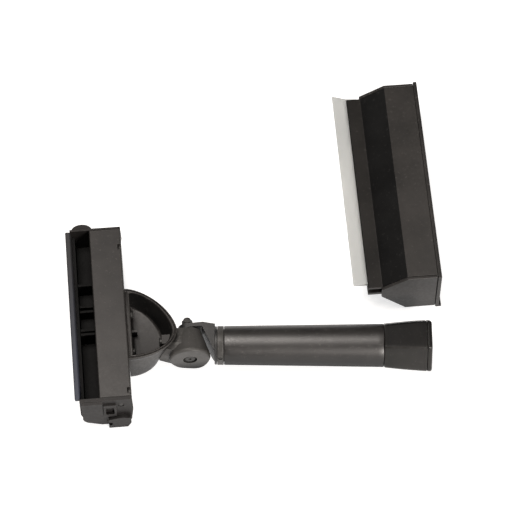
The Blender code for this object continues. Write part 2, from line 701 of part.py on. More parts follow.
def handle_tube(mat, group):
    start, end = COLLAR_END + GAP, TUBE_END
    profile = [(start, TUBE_BORE), (start, TUBE_FRONT_RADIUS - 0.0003),
               (start + 0.0003, TUBE_FRONT_RADIUS), (end - 0.0003, TUBE_REAR_RADIUS),
               (end, TUBE_REAR_RADIUS - 0.0003), (end, TUBE_BORE)]
    bm = bmesh.new()
    add_ring(bm, profile, 0.0, 48)
    make("handle_tube", bm, mat, group)


def hex_ring_points(x, flats, corner=0.0016):
    """Six-sided section standing on a flat, each corner softened by two points."""
    reach = flats / 2 / math.cos(math.pi / 6)
    corners = [Vector((reach * math.cos(a), reach * math.sin(a)))
               for a in (i * math.pi / 3 for i in range(6))]
    points = []
    for i, here in enumerate(corners):
        before = (corners[i - 1] - here).normalized() * corner
        after = (corners[(i + 1) % 6] - here).normalized() * corner
        middle = here + (before + after) * 0.3
        points += [here + before, middle, here + after]
    return [(x, y, z) for y, z in points]


def add_hex_loft(bm, stations):
    rings = [[bm.verts.new(p) for p in hex_ring_points(x, flats)] for x, flats in stations]
    add_loft_faces(bm, rings)


def hex_coupling(mat, group):
    """Flared six-sided socket for an extension pole, with a spigot inside the tube."""
    start, end = TUBE_END + GAP, COUPLING_END
    stations = [(start, HEX_SMALL_FLATS - 0.0008), (start + 0.0008, HEX_SMALL_FLATS),
                (end, HEX_LARGE_FLATS)]
    obj = shape("hex_coupling", add_hex_loft, stations)
    with_body(obj, "UNION", add_ring, rod(0.1380, start + 0.002, 0.0127))
    with_body(obj, "DIFFERENCE", add_ring, rod(0.1370, end + 0.001, 0.0104))
    with_body(obj, "DIFFERENCE", add_ring, rod(0.1600, end + 0.001, POLE_BORE))
    dress(obj, mat, group, smooth=FLAT_SIDES_ANGLE)


def coupling_end_ring(mat, group):
    """Six-sided collar that closes the flared end."""
    start, end = COUPLING_END + GAP, HANDLE_END
    stations = [(start, HEX_LARGE_FLATS), (end - 0.0010, HEX_LARGE_FLATS + 0.0002),
                (end, HEX_LARGE_FLATS - 0.0016)]
    obj = shape("coupling_end_ring", add_hex_loft, stations)
    with_body(obj, "DIFFERENCE", add_ring, rod(start - 0.001, end + 0.001, 0.0134))
    dress(obj, mat, group, smooth=FLAT_SIDES_ANGLE)


def socket_liner(mat, group):
    bm = bmesh.new()
    add_ring(bm, tube(0.1603, COUPLING_END - 0.0002, 0.0129, 0.0115))
    make("socket_liner", bm, mat, group)


# ---------------------------------------------------------------- blade adapter
LIP_SCREW_X = -0.0520
LIP_SCREW_Y = [-0.0700 + 0.0350 * i for i in range(5)]


def add_lip_holes(bm, start, end, radius):
    for y in LIP_SCREW_Y:
        add_turned(bm, rod(start, end, radius), Matrix.Translation((LIP_SCREW_X, y, 0.0)), SCREW_SIDES)


def adapter_shell(name, side, mat, group):
    """Half of the hopper: straight wall, slope and lip; side is +1 above and -1 below."""
    if side > 0:
        wall, lip_out, lip_in = SHELL_TOP, LIP_UPPER[1], LIP_UPPER[0]
    else:
        wall, lip_out, lip_in = SHELL_BOTTOM, LIP_LOWER[0], LIP_LOWER[1]
    skin = WALL * side
    outline = [(-FLANGE_DEPTH - GAP, wall), (FLAT_END, wall), (SLOPE_END, lip_out),
               (LIP_END + 0.0006, lip_out), (LIP_END, lip_out - 0.0006 * side),
               (LIP_END, lip_in), (SLOPE_END + 0.0008, lip_in),
               (FLAT_END + 0.0010, wall - skin), (-FLANGE_DEPTH - GAP, wall - skin)]
    inner_half = ADAPTER_HALF - PLATE - GAP
    obj = shape(name, add_prism, outline, "y", -inner_half, inner_half)
    if side > 0:
        with_body(obj, "DIFFERENCE", add_lip_holes, 0.0300, 0.0322, 0.0015)
    else:
        with_body(obj, "DIFFERENCE", add_lip_holes, 0.0210, 0.0260, 0.0015)
    dress(obj, mat, group)


def adapter_end(name, side, mat, group):
    """Flat plate that closes one end of the hopper."""
    outline = [(-FLANGE_DEPTH - GAP, SHELL_BOTTOM), (FLAT_END, SHELL_BOTTOM),
               (SLOPE_END - 0.0008, LIP_LOWER[0]), (SLOPE_END - 0.0008, LIP_UPPER[1]),
               (FLAT_END, SHELL_TOP), (-FLANGE_DEPTH - GAP, SHELL_TOP)]
    bm = bmesh.new()
    faces = sorted((side * ADAPTER_HALF, side * (ADAPTER_HALF - PLATE)))
    add_prism(bm, outline, "y", *faces)
    make(name, bm, mat, group, FRAME_BEVEL)


def base_flange(mat, group):
    """Frame round the open base, with a longer foot along its lower edge."""
    half = ADAPTER_HALF + 0.0008
    obj = shape("base_flange", add_box, (-FLANGE_DEPTH, -half, 0.0), (0.0, half, 0.0486))
    with_body(obj, "UNION", add_box, (-0.0020, -half, 0.0), (0.0018, half, 0.0020))
    with_body(obj, "DIFFERENCE", add_box, (-0.010, -0.0878, 0.0037), (0.010, 0.0878, 0.0449))
    dress(obj, mat, group, FRAME_BEVEL)


def squeegee_blade(mat, group):
    """Silicone blade: square at the near end, cut at a slant at the far end."""
    near = -0.0825
    thinning = 0.0007
    bm = bmesh.new()
    rings = []
    for x, far in ((-0.0490, 0.0900), (LIP_END, 0.0906), (-0.0660, 0.0938), (BLADE_EDGE, 0.0946)):
        pull = thinning * max(0.0, (LIP_END - x) / (LIP_END - BLADE_EDGE))
        low, high = BLADE_Z[0] + pull, BLADE_Z[1] - pull
        corners = ((near, low), (far, low), (far, high), (near, high))
        rings.append([bm.verts.new((x, y, z)) for y, z in corners])
    add_loft_faces(bm, rings)
    obj = make("squeegee_blade", bm, None)
    with_body(obj, "DIFFERENCE", add_lip_holes, 0.0260, 0.0310, 0.0015)
    dress(obj, mat, group)


def blade_clamp_bar(mat, group):
    low = (-0.0562, -0.0825, LIP_LOWER[1] + GAP)
    obj = shape("blade_clamp_bar", add_box, low, (-0.0478, 0.0870, BLADE_Z[0] - GAP))
    with_body(obj, "DIFFERENCE", add_lip_holes, 0.0240, 0.0280, 0.0015)
    dress(obj, mat, group)


def blade_screws(mat, group):
    """Screws from below through lip, bar and blade into the upper lip."""
    frames = [Matrix.Translation((LIP_SCREW_X, y, LIP_LOWER[0] - GAP)) for y in LIP_SCREW_Y]
    screws("blade_screw", frames, screw_profile(0.0103, 0.0012, 0.0024, 0.0012), mat, group)


# ---------------------------------------------------------------- assembly
def main():
    for obj in list(bpy.data.objects):
        bpy.data.objects.remove(obj)

    shell = material("charcoal plastic", (0.060, 0.056, 0.052), 0.55)
    dark = material("black plastic", (0.022, 0.022, 0.022), 0.50)
    grey = material("grey plastic", (0.085, 0.083, 0.080), 0.55)
    rubber = material("blue-grey rubber", (0.090, 0.095, 0.120), 0.70)
    silicone = material("milky silicone", (0.760, 0.780, 0.800), 0.35)
    steel = material("blackened steel", (0.080, 0.080, 0.080), 0.35, 0.9)

    head = group_empty("head_pivot", PIVOT)
    handle = group_empty("handle_axis", PIVOT, HANDLE_YAW)
    hinge = group_empty("bolt_axis", PIVOT)
    adapter = group_empty("adapter_base", ADAPTER_BASE)

    swivel_knuckle(grey, head)
    neck_cup(shell, head)
    cup_screws(steel, head)
    base_tray(dark, head)
    top_cover(shell, head)
    tray_screws(steel, head)
    channel_insert(dark, head)
    rubber_lip(rubber, head)
    lip_clamp_strip(dark, head)
    end_cap_near(shell, head)
    end_cap_far(shell, head)
    end_cap_screws(steel, head)

    hinge_hardware(steel, dark, hinge)

    hinge_fork(dark, handle)
    front_collar(grey, handle)
    collar_rivet(steel, handle)
    handle_tube(shell, handle)
    hex_coupling(shell, handle)
    coupling_end_ring(shell, handle)
    socket_liner(dark, handle)

    adapter_shell("adapter_upper_shell", 1, shell, adapter)
    adapter_shell("adapter_lower_shell", -1, shell, adapter)
    adapter_end("adapter_end_near", -1, shell, adapter)
    adapter_end("adapter_end_far", 1, shell, adapter)
    base_flange(shell, adapter)
    squeegee_blade(silicone, adapter)
    blade_clamp_bar(dark, adapter)
    blade_screws(steel, adapter)


main()
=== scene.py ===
import json
import math

import bmesh
import bpy
from mathutils import Matrix, Vector


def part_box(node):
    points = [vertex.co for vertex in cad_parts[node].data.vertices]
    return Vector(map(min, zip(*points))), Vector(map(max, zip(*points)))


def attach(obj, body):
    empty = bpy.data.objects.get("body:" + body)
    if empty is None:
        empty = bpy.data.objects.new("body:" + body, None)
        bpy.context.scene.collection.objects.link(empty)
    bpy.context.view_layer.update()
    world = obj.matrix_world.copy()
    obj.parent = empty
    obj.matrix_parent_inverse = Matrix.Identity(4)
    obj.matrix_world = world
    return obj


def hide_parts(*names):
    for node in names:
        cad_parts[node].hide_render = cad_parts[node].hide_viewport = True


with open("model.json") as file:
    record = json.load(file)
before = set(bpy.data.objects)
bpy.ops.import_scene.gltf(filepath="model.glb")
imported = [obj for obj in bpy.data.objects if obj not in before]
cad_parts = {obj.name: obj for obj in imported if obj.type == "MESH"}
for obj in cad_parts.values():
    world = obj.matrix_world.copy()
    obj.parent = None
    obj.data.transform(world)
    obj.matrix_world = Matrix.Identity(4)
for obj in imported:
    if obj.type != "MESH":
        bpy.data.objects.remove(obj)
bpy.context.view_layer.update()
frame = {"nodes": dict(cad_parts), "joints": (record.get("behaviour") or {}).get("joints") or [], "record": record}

# ---------------------------------------------------------------- frames of the three groups
GAP = 0.0003                       # clearance between neighbouring pieces
PIVOT = Vector(next(j["pos_m"] for j in frame["joints"] if j["name"] == "head_tilt"))
HANDLE_YAW = math.radians(-4.8)
HINGE = Matrix.Translation(PIVOT)
HANDLE = HINGE @ Matrix.Rotation(HANDLE_YAW, 4, "Z")


# ---------------------------------------------------------------- materials
def link(tree, source, target):
    tree.links.new(source, target)


NOISE_ROUGHNESS = 0.55


def texture_noise(tree, scale, detail, stretch=(1.0, 1.0, 1.0)):
    """Noise in the piece's own coordinates, optionally stretched along an axis."""
    coords = tree.nodes.new("ShaderNodeTexCoord")
    mapping = tree.nodes.new("ShaderNodeMapping")
    mapping.inputs["Scale"].default_value = stretch
    noise = tree.nodes.new("ShaderNodeTexNoise")
    noise.inputs["Scale"].default_value = scale
    noise.inputs["Detail"].default_value = detail
    noise.inputs["Roughness"].default_value = NOISE_ROUGHNESS
    link(tree, coords.outputs["Object"], mapping.inputs["Vector"])
    link(tree, mapping.outputs["Vector"], noise.inputs["Vector"])
    return noise.outputs["Fac"]


def own_axis(tree, axis):
    """The piece's own coordinate along X, Y or Z."""
    coords = tree.nodes.new("ShaderNodeTexCoord")
    split = tree.nodes.new("ShaderNodeSeparateXYZ")
    link(tree, coords.outputs["Object"], split.inputs["Vector"])
    return split.outputs[axis]


def ramp(tree, factor, stops):
    """Colour ramp through (position, colour) stops."""
    node = tree.nodes.new("ShaderNodeValToRGB")
    elements = node.color_ramp.elements
    while len(elements) < len(stops):
        elements.new(0.5)
    for element, (position, colour) in zip(elements, stops):
        element.position = position
        element.color = (*colour, 1.0)
    link(tree, factor, node.inputs["Fac"])
    return node.outputs["Color"]


def map_range(tree, value, low, high, to_low, to_high):
    node = tree.nodes.new("ShaderNodeMapRange")
    for name, number in (("From Min", low), ("From Max", high), ("To Min", to_low), ("To Max", to_high)):
        node.inputs[name].default_value = number
    link(tree, value, node.inputs["Value"])
    return node.outputs["Result"]


def math_node(tree, operation, first, second):
    node = tree.nodes.new("ShaderNodeMath")
    node.operation = operation
    for socket, value in zip(node.inputs, (first, second)):
        if isinstance(value, (int, float)):
            socket.default_value = value
        else:
            link(tree, value, socket)
    return node.outputs["Value"]


def mix_rgba(tree, factor, first, second):
    """Mix two colours by a factor's socket; each colour is a tuple or a socket."""
    node = tree.nodes.new("ShaderNodeMix")
    node.data_type = "RGBA"
    # the Mix node keeps its colour sockets after those for numbers and vectors
    colour_a, colour_b = node.inputs[6], node.inputs[7]
    link(tree, factor, node.inputs[0])
    for socket, value in ((colour_a, first), (colour_b, second)):
        if isinstance(value, tuple):
            socket.default_value = (*value, 1.0)
        else:
            link(tree, value, socket)
    return node.outputs[2]


def edge_wear(tree, radius):
    """1 on outer edges, 0 on flats: how far a rounded normal turns from the true one."""
    rounded = tree.nodes.new("ShaderNodeBevel")
    rounded.samples = 4
    rounded.inputs["Radius"].default_value = radius
    geometry = tree.nodes.new("ShaderNodeNewGeometry")
    dot = tree.nodes.new("ShaderNodeVectorMath")
    dot.operation = "DOT_PRODUCT"
    link(tree, rounded.outputs["Normal"], dot.inputs[0])
    link(tree, geometry.outputs["Normal"], dot.inputs[1])
    return map_range(tree, dot.outputs["Value"], 0.99, 0.80, 0.0, 1.0)


def bump(tree, shader, height, strength, distance):
    node = tree.nodes.new("ShaderNodeBump")
    node.inputs["Strength"].default_value = strength
    node.inputs["Distance"].default_value = distance
    link(tree, height, node.inputs["Height"])
    link(tree, node.outputs["Normal"], shader.inputs["Normal"])


def new_material(name):
    mat = bpy.data.materials.new(name)
    mat.use_nodes = True
    return mat, mat.node_tree, mat.node_tree.nodes["Principled BSDF"]


BLOTCH_SCALE, SPECK_SCALE, GRAIN_SCALE = 38.0, 420.0, 1500.0
EDGE_WIDTH, GRAIN_DEPTH = 0.0007, 0.00012
# tone and specular level of painted shade on the lower parts of a piece
PAINTED_SHADE_TONE, PAINTED_SHADE_SPECULAR = (0.003, 0.003, 0.003), 0.06


def plastic(name, dark, light, worn, rough=(0.40, 0.54), specular=0.4, painted_shade_heights=None):
    """Moulded plastic: blotchy tone, fine spark-eroded grain, and paler rubbed edges.

    The last argument is a pair of heights for painted shade: below the first one the surface is painted nearly
    black.
    """
    mat, tree, shader = new_material(name)
    blotch = texture_noise(tree, BLOTCH_SCALE, 3.0)
    fine = texture_noise(tree, GRAIN_SCALE, 2.0)
    speck = texture_noise(tree, SPECK_SCALE, 5.0)
    tone = ramp(tree, blotch, ((0.32, dark), (0.68, light)))
    scuffs = map_range(tree, speck, 0.60, 0.74, 0.0, 0.35)
    tone = mix_rgba(tree, scuffs, tone, worn)
    broken = map_range(tree, speck, 0.35, 0.65, 0.25, 1.0)
    edge = math_node(tree, "MULTIPLY", edge_wear(tree, EDGE_WIDTH), broken)
    tone = mix_rgba(tree, math_node(tree, "MULTIPLY", edge, 0.6), tone, worn)
    shader.inputs["Specular IOR Level"].default_value = specular
    # painted shade: darker and less glossy towards the bottom, between the two heights
    if painted_shade_heights:
        height = map_range(tree, own_axis(tree, "Z"), painted_shade_heights[0], painted_shade_heights[1], 0.0, 1.0)
        tone = mix_rgba(tree, height, PAINTED_SHADE_TONE, tone)
        gloss = map_range(tree, height, 0.0, 1.0, PAINTED_SHADE_SPECULAR, specular)
        link(tree, gloss, shader.inputs["Specular IOR Level"])
    link(tree, tone, shader.inputs["Base Color"])
    link(tree, map_range(tree, speck, 0.3, 0.7, rough[0], rough[1]), shader.inputs["Roughness"])
    relief = math_node(tree, "ADD", fine, math_node(tree, "MULTIPLY", blotch, 2.0))
    bump(tree, shader, relief, 0.35, GRAIN_DEPTH)
    return mat


def rubber():
    """Rubber lip: bluish bloom that grows towards the near end, fine wiping lines along it."""
    mat, tree, shader = new_material("blue_grey_rubber")
    low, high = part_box("rubber_lip")
    along = map_range(tree, own_axis(tree, "Y"), low[1], high[1], 0.0, 1.0)
    lines = texture_noise(tree, 260.0, 4.0, (8.0, 0.6, 8.0))
    bloom = ramp(tree, along, ((0.0, (0.034, 0.039, 0.056)), (0.45, (0.025, 0.027, 0.035)),
                               (0.85, (0.020, 0.020, 0.021))))
    tone = mix_rgba(tree, map_range(tree, lines, 0.35, 0.7, 0.0, 0.35), bloom, (0.030, 0.031, 0.035))
    link(tree, tone, shader.inputs["Base Color"])
    link(tree, map_range(tree, lines, 0.3, 0.7, 0.5, 0.75), shader.inputs["Roughness"])
    shader.inputs["Specular IOR Level"].default_value = 0.3
    bump(tree, shader, lines, 0.3, 0.0001)
    return mat


def silicone():
    """Milky silicone: cloudy white that lets some light through, with faint drawn lines."""
    mat, tree, shader = new_material("milky_silicone")
    cloud = texture_noise(tree, 45.0, 4.0, (1.0, 0.35, 1.0))
    lines = texture_noise(tree, 300.0, 3.0, (6.0, 0.5, 6.0))
    tone = ramp(tree, cloud, ((0.3, (0.47, 0.485, 0.48)), (0.7, (0.56, 0.57, 0.56))))
    link(tree, tone, shader.inputs["Base Color"])
    link(tree, map_range(tree, lines, 0.3, 0.7, 0.28, 0.46), shader.inputs["Roughness"])
    shader.inputs["IOR"].default_value = 1.41
    shader.inputs["Transmission Weight"].default_value = 0.45
    shader.inputs["Subsurface Weight"].default_value = 0.35
    shader.inputs["Subsurface Scale"].default_value = 0.002
    shader.inputs["Subsurface Radius"].default_value = (1.0, 0.95, 0.9)
    bump(tree, shader, lines, 0.15, 0.0001)
    return mat


def steel():
    """Blackened steel with turned marks and bright rubbed edges."""
    mat, tree, shader = new_material("blackened_steel")
    marks = texture_noise(tree, 900.0, 4.0, (1.0, 0.25, 1.0))
    tone = ramp(tree, marks, ((0.3, (0.020, 0.020, 0.019)), (0.7, (0.045, 0.044, 0.042))))
    edge = math_node(tree, "MULTIPLY", edge_wear(tree, 0.0003), 0.5)
    tone = mix_rgba(tree, edge, tone, (0.14, 0.135, 0.13))
    link(tree, tone, shader.inputs["Base Color"])
    link(tree, map_range(tree, marks, 0.3, 0.7, 0.45, 0.62), shader.inputs["Roughness"])
    shader.inputs["Metallic"].default_value = 0.6
    bump(tree, shader, marks, 0.2, 0.0001)
    return mat


CHARCOAL = plastic("charcoal_plastic", (0.010, 0.009, 0.0085), (0.019, 0.0172, 0.016),
                   (0.080, 0.075, 0.070), specular=0.34)
BLACK = plastic("black_plastic", (0.008, 0.008, 0.008), (0.014, 0.014, 0.014), (0.050, 0.049, 0.048))
SATIN = plastic("satin_charcoal", (0.007, 0.007, 0.006), (0.014, 0.013, 0.012),
                (0.060, 0.057, 0.054), (0.30, 0.40), 0.34)
# painted shade on the grip's underside: nearly black below 0.017 m, full tone from 0.031 m up
TUBE = plastic("grip_charcoal", (0.010, 0.009, 0.0085), (0.018, 0.0165, 0.0155),
               (0.080, 0.075, 0.070), (0.37, 0.48), 0.58, painted_shade_heights=(0.017, 0.031))
# painted shade on the knuckle's lower part: nearly black below 0.004 m, full tone from 0.017 m up
KNUCKLE = plastic("knuckle_grey", (0.030, 0.029, 0.027), (0.046, 0.044, 0.042),
                  (0.110, 0.106, 0.102), specular=0.34, painted_shade_heights=(0.004, 0.017))
CAPS = plastic("cap_charcoal", (0.007, 0.0062, 0.006), (0.013, 0.0115, 0.011),
               (0.065, 0.060, 0.058), (0.46, 0.60), 0.22)
# a blacker copy of charcoal that stands for shade: painted shade on hex tops and the cup's inner wall
SHADE = plastic("shaded_charcoal", (0.004, 0.004, 0.004), (0.009, 0.0085, 0.008),
                (0.050, 0.048, 0.045), (0.50, 0.62), 0.12)
SHELL = plastic("adapter_charcoal", (0.011, 0.010, 0.009), (0.020, 0.018, 0.0165),
                (0.070, 0.066, 0.062), (0.42, 0.56), 0.36)
# near-black material that stands for the shade inside the head's channel
CHANNEL_SHADE = plastic("channel_painted_shade", (0.003, 0.003, 0.003), (0.005, 0.005, 0.005),
                  (0.014, 0.014, 0.014), (0.60, 0.70), 0.08)
# painted shade for the adapter's tilted faces (first) and its lip strip (second)
SLOPE_SHADE = plastic("slope_painted_shade", (0.003, 0.003, 0.003), (0.006, 0.006, 0.006),
                (0.040, 0.039, 0.038), (0.50, 0.62), 0.10)
LIP_SHADE = plastic("lip_painted_shade", (0.006, 0.0055, 0.005), (0.012, 0.011, 0.010),
                    (0.055, 0.052, 0.050), (0.46, 0.60), 0.18)
GREY = plastic("grey_plastic", (0.030, 0.029, 0.027), (0.046, 0.044, 0.042),
               (0.110, 0.106, 0.102), specular=0.30)
RUBBER = rubber()
SILICONE = silicone()
STEEL = steel()
SLOT_LOOKS = {"charcoal_plastic": CHARCOAL, "black_plastic": BLACK, "grey_plastic": GREY,
              "blue_grey_rubber": RUBBER, "milky_silicone": SILICONE, "blackened_steel": STEEL}
NODE_SLOT = {part["node"]: part["material_slot"] for part in frame["record"]["subparts"]}
BODIES = frame["record"]["behaviour"]["bodies"]
NODE_BODY = {node: body for body, nodes in BODIES.items() for node in nodes}


# ---------------------------------------------------------------- mesh helpers
def smooth(mesh, degrees):
    """Smooth shading, with edges sharper than the angle kept sharp."""
    mesh.shade_smooth()
    mesh.set_sharp_from_angle(angle=math.radians(degrees))


def finish_piece(obj, node, look=None):
    """Material, body, slot and the CAD node a piece stands for."""
    obj.data.materials.clear()
    obj.data.materials.append(look or SLOT_LOOKS[NODE_SLOT[node]])
    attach(obj, NODE_BODY[node])
    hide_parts(node)
    return obj


def new_object(name, bm, matrix=Matrix.Identity(4), sharp=35.0):
    bmesh.ops.recalc_face_normals(bm, faces=bm.faces)
    mesh = bpy.data.meshes.new(name)
    bm.to_mesh(mesh)
    bm.free()
    mesh.transform(matrix)
    smooth(mesh, sharp)
    obj = bpy.data.objects.new(name, mesh)
    bpy.context.scene.collection.objects.link(obj)
    return obj


def add_bevel(obj, width, segments=3, angle=35.0):
    edge = obj.modifiers.new("rounded edges", "BEVEL")
    edge.width = width
    edge.segments = segments
    edge.limit_method = "ANGLE"
    edge.angle_limit = math.radians(angle)


def bake_modifiers(obj):
    """Replace an object's mesh by what its modifiers make of it."""
    graph = bpy.context.evaluated_depsgraph_get()
    result = bpy.data.meshes.new_from_object(obj.evaluated_get(graph))
    obj.modifiers.clear()
    old = obj.data
    obj.data = result
    bpy.data.meshes.remove(old)


def apply_modifiers(obj, sharp=50.0):
    bake_modifiers(obj)
    smooth(obj.data, sharp)


def weigh_normals(obj):
    """Keep large faces flat in shading beside their rounded edges."""
    step = obj.modifiers.new("flat faces", "WEIGHTED_NORMAL")
    step.keep_sharp = True
    step.weight = 90
    bake_modifiers(obj)


def softened(node, width, segments=3, angle=35.0, sharp=50.0, look=None):
    """A copy of a CAD node's shape with rounded edges, which stands for it."""
    bm = bmesh.new()
    bm.from_mesh(frame["nodes"][node].data)
    bmesh.ops.remove_doubles(bm, verts=bm.verts, dist=1e-6)
    bmesh.ops.dissolve_limit(bm, angle_limit=math.radians(0.5), verts=bm.verts, edges=bm.edges)
    obj = new_object(node + "_soft", bm)
    add_bevel(obj, width, segments, angle)
    apply_modifiers(obj, sharp)
    weigh_normals(obj)
    return finish_piece(obj, node, look)


def skin(bm, rings, closed=False):
    """Quads between vertex rings of equal length; the ends are capped unless closed."""
    count = len(rings[0])
    pairs = list(zip(rings, rings[1:]))
    if closed:
        pairs.append((rings[-1], rings[0]))
    for ring_a, ring_b in pairs:
        for i in range(count):
            j = (i + 1) % count
            bm.faces.new((ring_a[i], ring_a[j], ring_b[j], ring_b[i]))
    if not closed:
        bm.faces.new(list(reversed(rings[0])))
        bm.faces.new(rings[-1])


def turned(bm, profile, segments):
    """Closed ring-shaped body: (along, radius) points turned about local X."""
    rings = []
    for along, radius in profile:
        ring = []
        for i in range(segments):
            angle = 2 * math.pi * i / segments
            u, v = radius * math.cos(angle), radius * math.sin(angle)
            ring.append(bm.verts.new((along, u, v)))
        rings.append(ring)
    skin(bm, rings, closed=True)


def arc(centre, radius, start, end, steps):
    """Points on an arc, as (along, radius) pairs; angles in degrees."""
    points = []
    for i in range(steps + 1):
        angle = math.radians(start + (end - start) * i / steps)
        points.append((centre[0] + radius * math.cos(angle), centre[1] + radius * math.sin(angle)))
    return points


def boolean(obj, bm, operation, matrix=Matrix.Identity(4)):
    """Cut, join or intersect a piece with a scratch mesh, which is then removed."""
    tool = new_object("tool", bm, matrix)
    step = obj.modifiers.new("combine", "BOOLEAN")
    step.operation = operation
    step.solver = "EXACT"
    step.object = tool
    apply_modifiers(obj)
    mesh = tool.data
    bpy.data.objects.remove(tool)
    bpy.data.meshes.remove(mesh)


# ---------------------------------------------------------------- camera, floor and light
CAMERA_ELEVATION = math.radians(61.0)
CAMERA_DISTANCE = 2.2
CAMERA_TARGET = Vector((0.0023, -0.00215, 0.020))
SENSOR_WIDTH, LENS = 36.0, 194.1
CLIP_NEAR, CLIP_FAR = 0.05, 20.0
FLOOR_HALF, FLOOR_DROP, FLOOR_TONE, FLOOR_GLOW = 4.0, 0.0002, 0.50, 0.74
WORLD_STRENGTH = 0.06
WHITE = (1.0, 1.0, 1.0, 1.0)
LIGHT_COLOUR = (1.0, 0.94, 0.89)
LIGHT_AIM = Vector((0.0, 0.0, 0.02))


def build_camera():
    """Long lens that looks down on the tool, level with the handle's direction."""
    cos_yaw, sin_yaw = math.cos(HANDLE_YAW), math.sin(HANDLE_YAW)
    right = Vector((cos_yaw, sin_yaw, 0.0))
    level = Vector((sin_yaw, -cos_yaw, 0.0))
    rise = Vector((0.0, 0.0, math.sin(CAMERA_ELEVATION)))
    towards = level * math.cos(CAMERA_ELEVATION) + rise
    up = towards.cross(right)
    camera = bpy.data.objects.new("camera", bpy.data.cameras.new("camera"))
    camera.data.sensor_width = SENSOR_WIDTH
    camera.data.lens = LENS
    camera.data.clip_start = CLIP_NEAR
    camera.data.clip_end = CLIP_FAR
    rotation = Matrix((right, up, towards)).transposed().to_4x4()
    camera.matrix_world = Matrix.Translation(CAMERA_TARGET + towards * CAMERA_DISTANCE) @ rotation
    bpy.context.scene.collection.objects.link(camera)
    bpy.context.scene.camera = camera


def build_floor():
    """Pale floor that glows a little, so that shadows on it stay faint."""
    bm = bmesh.new()
    bmesh.ops.create_grid(bm, x_segments=1, y_segments=1, size=FLOOR_HALF)
    floor = new_object("floor", bm, Matrix.Translation((0.0, 0.0, -FLOOR_DROP)))
    mat, _, shader = new_material("floor_paper")
    shader.inputs["Base Color"].default_value = (FLOOR_TONE, FLOOR_TONE, FLOOR_TONE, 1.0)
    shader.inputs["Roughness"].default_value = 0.9
    shader.inputs["Specular IOR Level"].default_value = 0.1
    shader.inputs["Emission Color"].default_value = WHITE
    shader.inputs["Emission Strength"].default_value = FLOOR_GLOW
    floor.data.materials.append(mat)


def build_world():
    """Dim even light from all round."""
    world = bpy.data.worlds.new("studio")
    world.use_nodes = True
    background = world.node_tree.nodes["Background"]
    background.inputs["Color"].default_value = WHITE
    background.inputs["Strength"].default_value = WORLD_STRENGTH
    bpy.context.scene.world = world
    bpy.context.scene.view_settings.view_transform = "Standard"


def area_light(name, place, size, power):
    """Round soft light aimed at the tool."""
    lamp = bpy.data.lights.new(name, "AREA")
    lamp.shape = "DISK"
    lamp.size = size
    lamp.energy = power
    lamp.color = LIGHT_COLOUR
    obj = bpy.data.objects.new(name, lamp)
    place = Vector(place)
    facing = (place - LIGHT_AIM).to_track_quat("Z", "Y").to_matrix().to_4x4()
    obj.matrix_world = Matrix.Translation(place) @ facing
    bpy.context.scene.collection.objects.link(obj)


build_camera()
build_floor()
build_world()
area_light("front", (0.55, -1.38, 0.72), 0.45, 28.0)
area_light("top", (-0.22, 0.02, 1.05), 0.6, 14.0)


# ---------------------------------------------------------------- handle
def step_towards(first, second, t):
    """The point a share t of the way from one 2-D point to another."""
    return (first[0] + (second[0] - first[0]) * t, first[1] + (second[1] - first[1]) * t)


def rounded_hexagon(flats, corner):
    """Points of a six-sided section with corners of a true radius."""
    arc_steps, flat_steps = 8, 5
    points = []
    reach = (flats / 2 - corner) / math.cos(math.pi / 6)
    for i in range(6):
        middle = math.radians(60 * i)
        centre = (reach * math.cos(middle), reach * math.sin(middle))
        for k in range(arc_steps + 1):
            angle = middle + math.radians(-30 + 60 * k / arc_steps)
            y = centre[0] + corner * math.cos(angle)
            points.append((y, centre[1] + corner * math.sin(angle)))
        after = math.radians(60 * (i + 1))
        next_centre = (reach * math.cos(after), reach * math.sin(after))
        leave = middle + math.radians(30)
        start = points[-1]
        y = next_centre[0] + corner * math.cos(leave)
        end = (y, next_centre[1] + corner * math.sin(leave))
        for k in range(1, flat_steps):
            points.append(step_towards(start, end, k / flat_steps))
    return points


def circle_like(points, radius):
    """Points of a circle at the same angles as another outline's points."""
    return [(radius * y / math.hypot(y, z), radius * z / math.hypot(y, z)) for y, z in points]


def handle_tube():
    """Tapered grip tube with rounded ends."""
    start, end = 0.0276, 0.1529
    front, rear, bore, round_end = 0.0153, 0.0170, 0.0130, 0.0007
    profile = [(start, bore)]
    profile += arc((start + round_end, front - round_end), round_end, 180, 95, 5)
    steps = 24
    for i in range(1, steps):
        t = i / steps
        profile.append((start + (end - start) * t, front + (rear - front) * t))
    profile += arc((end - round_end, rear - round_end), round_end, 85, 0, 5)
    profile.append((end, bore))
    bm = bmesh.new()
    turned(bm, profile, 160)
    obj = new_object("handle_grip", bm, HANDLE)
    finish_piece(obj, "handle_tube", TUBE)


def hex_body(name, stations, bores):
    """Six-sided outer rings, then round inner rings, closed into one wall."""
    bm = bmesh.new()
    rings = []
    outline = None
    for x, flats, corner in stations:
        outline = rounded_hexagon(flats, corner)
        rings.append([bm.verts.new((x, y, z)) for y, z in outline])
    for x, radius in bores:
        rings.append([bm.verts.new((x, y, z)) for y, z in circle_like(outline, radius)])
    skin(bm, rings, closed=True)
    return new_object(name, bm, HANDLE, 28.0)


def paint_top_shade(obj):
    """Painted shade: a blacker material on the upward face of a six-sided body."""
    obj.data.materials.append(SHADE)
    for face in obj.data.polygons:
        if face.normal.z > 0.90:
            face.material_index = 1


